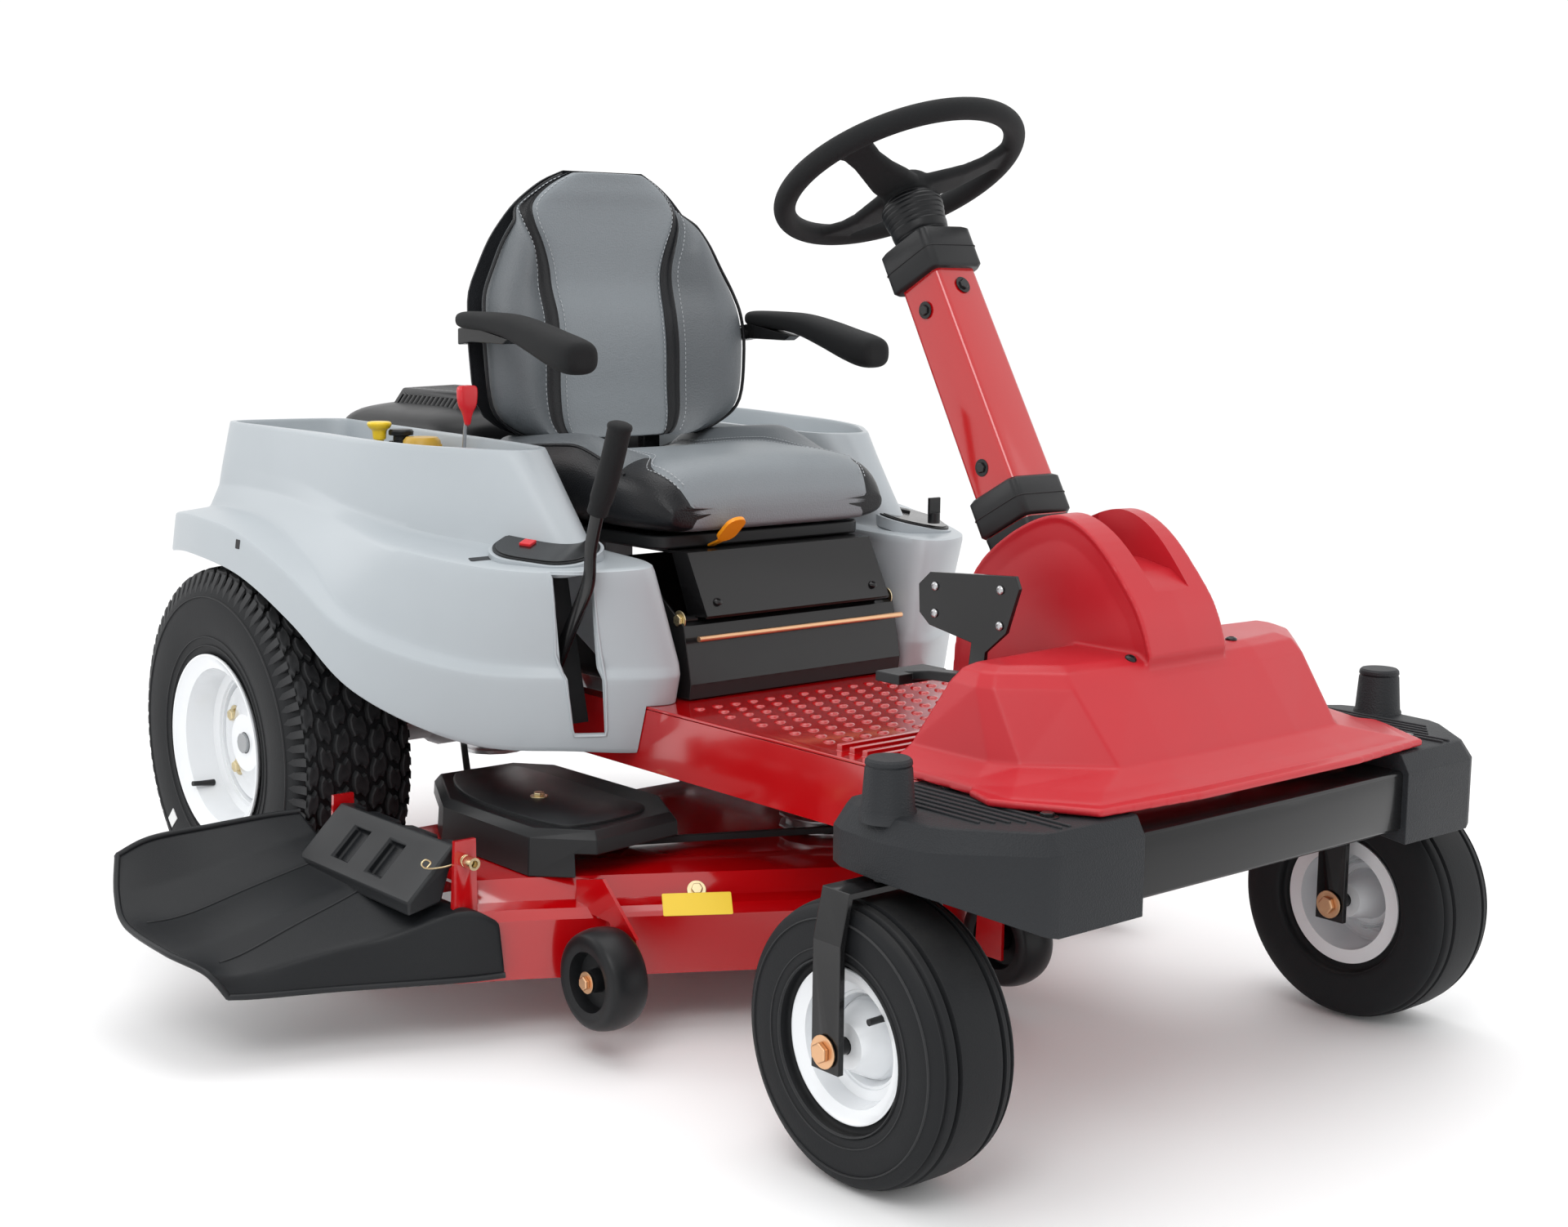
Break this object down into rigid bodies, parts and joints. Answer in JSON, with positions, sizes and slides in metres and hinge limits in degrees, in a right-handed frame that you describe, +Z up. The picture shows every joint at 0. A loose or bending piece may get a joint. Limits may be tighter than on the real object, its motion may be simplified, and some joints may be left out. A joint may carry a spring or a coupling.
{
  "type": "zero turn mower",
  "caption": "Riding zero turn mower with steering wheel, pedals, high-back seat, grey fenders, red frame and hood, and a side-discharge deck under the middle.",
  "frame": {"origin": "centre of the footprint, on the ground", "axes": "+Z up, -Y towards the machine's front, +X towards the rider's left"},
  "size_m": [1.585, 1.9572, 1.24],
  "materials": {
    "red_paint": "gloss red powder coat",
    "red_plastic": "satin moulded red",
    "grey_plastic": "satin moulded light grey",
    "charcoal_plastic": "textured charcoal",
    "black_plastic": "moulded black",
    "black_paint": "satin black powder coat",
    "tyre_rubber": "matt rubber",
    "white_paint": "gloss white",
    "foam_rubber": "soft matt grip",
    "seat_vinyl": "grained vinyl, grey with black bands",
    "yellow_plastic": "gloss yellow",
    "orange_plastic": "gloss orange",
    "red_knob": "gloss red",
    "cast_aluminium": "as cast",
    "steel": "bare machined steel",
    "zinc": "yellow zinc plate"
  },
  "bodies": {
    "chassis": {"main_frame": "red_paint", "front_beam": "black_paint", "bumper_cap_right": "charcoal_plastic", "bumper_cap_left": "charcoal_plastic", "hood": "red_plastic", "foot_pan": "red_paint", "column_tube": "red_paint", "collar_top": "black_plastic", "collar_bottom": "black_plastic", "seat_base": "black_paint", "fender_right": "grey_plastic", "fender_left": "grey_plastic", "control_panel_right": "black_plastic", "control_panel_left": "black_plastic", "fuel_tank": "black_plastic", "transaxle_right": "cast_aluminium", "transaxle_left": "cast_aluminium", "engine_block": "cast_aluminium", "engine_cover": "black_plastic", "rear_guard": "black_paint"},
    "steering": {"steering_wheel": "foam_rubber", "steering_hub": "black_plastic"},
    "forward_pedal": {"forward_pedal": "black_paint"},
    "reverse_pedal": {"reverse_pedal": "black_plastic"},
    "seat_plate": {"seat_plate": "black_paint"},
    "seat": {"seat_pan": "black_plastic", "seat_cushion": "seat_vinyl", "seat_back": "seat_vinyl", "seat_shell": "charcoal_plastic"},
    "seat_lever": {"seat_lever": "orange_plastic"},
    "lift_lever": {"lift_lever": "black_paint"},
    "deck": {"deck_shell": "red_paint", "belt_cover_right": "black_plastic", "belt_cover_left": "black_plastic", "drive_belt": "tyre_rubber", "chute_rod": "zinc"},
    "chute": {"chute": "black_plastic"},
    "engine_drum": {"engine_drum": "steel"},
    "ignition_key": {"ignition_key": "black_plastic"},
    "pto_knob": {"pto_knob": "yellow_plastic"},
    "throttle": {"throttle_lever": "red_knob"},
    "fuel_cap": {"fuel_cap": "orange_plastic"},
    "caster_right": {"fork_right": "black_paint"},
    "front_wheel_right": {"front_tyre_right": "tyre_rubber", "front_rim_right": "white_paint"},
    "rear_wheel_right": {"rear_tyre_right": "tyre_rubber", "rear_rim_right": "white_paint"},
    "armrest_right": {"armrest_right": "foam_rubber"},
    "caster_left": {"fork_left": "black_paint"},
    "front_wheel_left": {"front_tyre_left": "tyre_rubber", "front_rim_left": "white_paint"},
    "rear_wheel_left": {"rear_tyre_left": "tyre_rubber", "rear_rim_left": "white_paint"},
    "armrest_left": {"armrest_left": "foam_rubber"},
    "spindle_centre": {"spindle_centre": "steel"},
    "spindle_right": {"spindle_right": "steel"},
    "spindle_left": {"spindle_left": "steel"},
    "scalp_wheel_right": {"scalp_wheel_right": "black_plastic"},
    "scalp_wheel_centre": {"scalp_wheel_centre": "black_plastic"},
    "scalp_wheel_left": {"scalp_wheel_left": "black_plastic"}
  },
  "joints": [
    {"name": "steering", "type": "hinge", "parent": "chassis", "child": "steering", "pos_m": [0.1375, -0.2986, 1.146], "axis": [0, 0.4848, 0.8746], "range_deg": [-140, 140]},
    {"name": "caster_right", "type": "hinge", "parent": "chassis", "child": "caster_right", "pos_m": [-0.3235, -0.7856, 0.3], "axis": [0, 0, 1], "range_deg": [-70, 70]},
    {"name": "front_wheel_right", "type": "hinge", "parent": "caster_right", "child": "front_wheel_right", "pos_m": [-0.3235, -0.7786, 0.1651], "axis": [1, 0, 0], "continuous": true},
    {"name": "rear_wheel_right", "type": "hinge", "parent": "chassis", "child": "rear_wheel_right", "pos_m": [-0.3665, 0.5774, 0.2794], "axis": [1, 0, 0], "continuous": true},
    {"name": "caster_left", "type": "hinge", "parent": "chassis", "child": "caster_left", "pos_m": [0.5985, -0.7856, 0.3], "axis": [0, 0, 1], "range_deg": [-70, 70]},
    {"name": "front_wheel_left", "type": "hinge", "parent": "caster_left", "child": "front_wheel_left", "pos_m": [0.5985, -0.7786, 0.1651], "axis": [1, 0, 0], "continuous": true},
    {"name": "rear_wheel_left", "type": "hinge", "parent": "chassis", "child": "rear_wheel_left", "pos_m": [0.6415, 0.5774, 0.2794], "axis": [1, 0, 0], "continuous": true},
    {"name": "forward_pedal", "type": "hinge", "parent": "chassis", "child": "forward_pedal", "pos_m": [-0.0435, -0.6406, 0.508], "axis": [1, 0, 0], "range_deg": [0, 10], "stiffness_Nm_per_rad": 8, "springref_deg": -20.05},
    {"name": "reverse_pedal", "type": "hinge", "parent": "chassis", "child": "reverse_pedal", "pos_m": [-0.0235, -0.6226, 0.515], "axis": [1, 0, 0], "range_deg": [-8, 0], "stiffness_Nm_per_rad": 8, "springref_deg": 17.19},
    {"name": "seat_tilt", "type": "hinge", "parent": "chassis", "child": "seat_plate", "pos_m": [0.1375, -0.0736, 0.523], "axis": [1, 0, 0], "range_deg": [0, 35]},
    {"name": "seat_slide", "type": "slide", "parent": "seat_plate", "child": "seat", "axis": [0, 1, 0], "range_m": [-0.05, 0.05]},
    {"name": "seat_lever", "type": "hinge", "parent": "seat", "child": "seat_lever", "pos_m": [0.0335, -0.0346, 0.62], "axis": [0, 0, 1], "range_deg": [-12, 12]},
    {"name": "armrest_right", "type": "hinge", "parent": "seat", "child": "armrest_right", "pos_m": [-0.1455, 0.3554, 0.913], "axis": [-1, 0, 0], "range_deg": [0, 75]},
    {"name": "armrest_left", "type": "hinge", "parent": "seat", "child": "armrest_left", "pos_m": [0.4205, 0.3554, 0.913], "axis": [-1, 0, 0], "range_deg": [0, 75]},
    {"name": "deck_lift", "type": "slide", "parent": "chassis", "child": "deck", "axis": [0, 0, 1], "range_m": [-0.03, 0]},
    {"name": "lift_lever", "type": "hinge", "parent": "chassis", "child": "lift_lever", "pos_m": [-0.2225, 0.0174, 0.44], "axis": [1, 0, 0], "range_deg": [0, 18]},
    {"name": "chute_hinge", "type": "hinge", "parent": "deck", "child": "chute", "pos_m": [-0.4525, 0.5774, 0.247], "axis": [0, 1, 0], "range_deg": [0, 75]},
    {"name": "spindle_centre", "type": "hinge", "parent": "deck", "child": "spindle_centre", "pos_m": [0.1375, -0.1676, 0.16], "axis": [0, 0, 1], "continuous": true},
    {"name": "spindle_right", "type": "hinge", "parent": "deck", "child": "spindle_right", "pos_m": [-0.2675, 0.0174, 0.16], "axis": [0, 0, 1], "continuous": true},
    {"name": "spindle_left", "type": "hinge", "parent": "deck", "child": "spindle_left", "pos_m": [0.5425, 0.0174, 0.16], "axis": [0, 0, 1], "continuous": true},
    {"name": "engine_drum", "type": "hinge", "parent": "chassis", "child": "engine_drum", "pos_m": [0.1375, 0.7274, 0.22], "axis": [0, 0, 1], "continuous": true},
    {"name": "scalp_wheel_right", "type": "hinge", "parent": "deck", "child": "scalp_wheel_right", "pos_m": [-0.3405, -0.2756, 0.104], "axis": [1, 0, 0], "continuous": true},
    {"name": "scalp_wheel_centre", "type": "hinge", "parent": "deck", "child": "scalp_wheel_centre", "pos_m": [0.2035, -0.4756, 0.104], "axis": [1, 0, 0], "continuous": true},
    {"name": "scalp_wheel_left", "type": "hinge", "parent": "deck", "child": "scalp_wheel_left", "pos_m": [0.6155, -0.2756, 0.104], "axis": [1, 0, 0], "continuous": true},
    {"name": "throttle", "type": "hinge", "parent": "chassis", "child": "throttle", "pos_m": [-0.1475, 0.3624, 0.7], "axis": [1, 0, 0], "range_deg": [-20, 20]},
    {"name": "pto_switch", "type": "slide", "parent": "chassis", "child": "pto_knob", "axis": [0, 0, 1], "range_m": [0, 0.02]},
    {"name": "ignition", "type": "hinge", "parent": "chassis", "child": "ignition_key", "pos_m": [0.4775, -0.0326, 0.631], "axis": [0, 0, 1], "range_deg": [0, 90]},
    {"name": "fuel_cap", "type": "hinge", "parent": "chassis", "child": "fuel_cap", "pos_m": [-0.1805, 0.4274, 0.72], "axis": [0, 0, 1], "range_deg": [0, 120]}
  ],
  "couplings": [
    {"joint": "steering", "follows": "caster_right", "ratio": 2},
    {"joint": "caster_left", "follows": "caster_right", "ratio": 1},
    {"joint": "spindle_right", "follows": "spindle_centre", "ratio": 1},
    {"joint": "spindle_left", "follows": "spindle_centre", "ratio": 1},
    {"joint": "engine_drum", "follows": "spindle_centre", "ratio": 1.2},
    {"joint": "lift_lever", "follows": "deck_lift", "rad_per_m": -10}
  ]
}
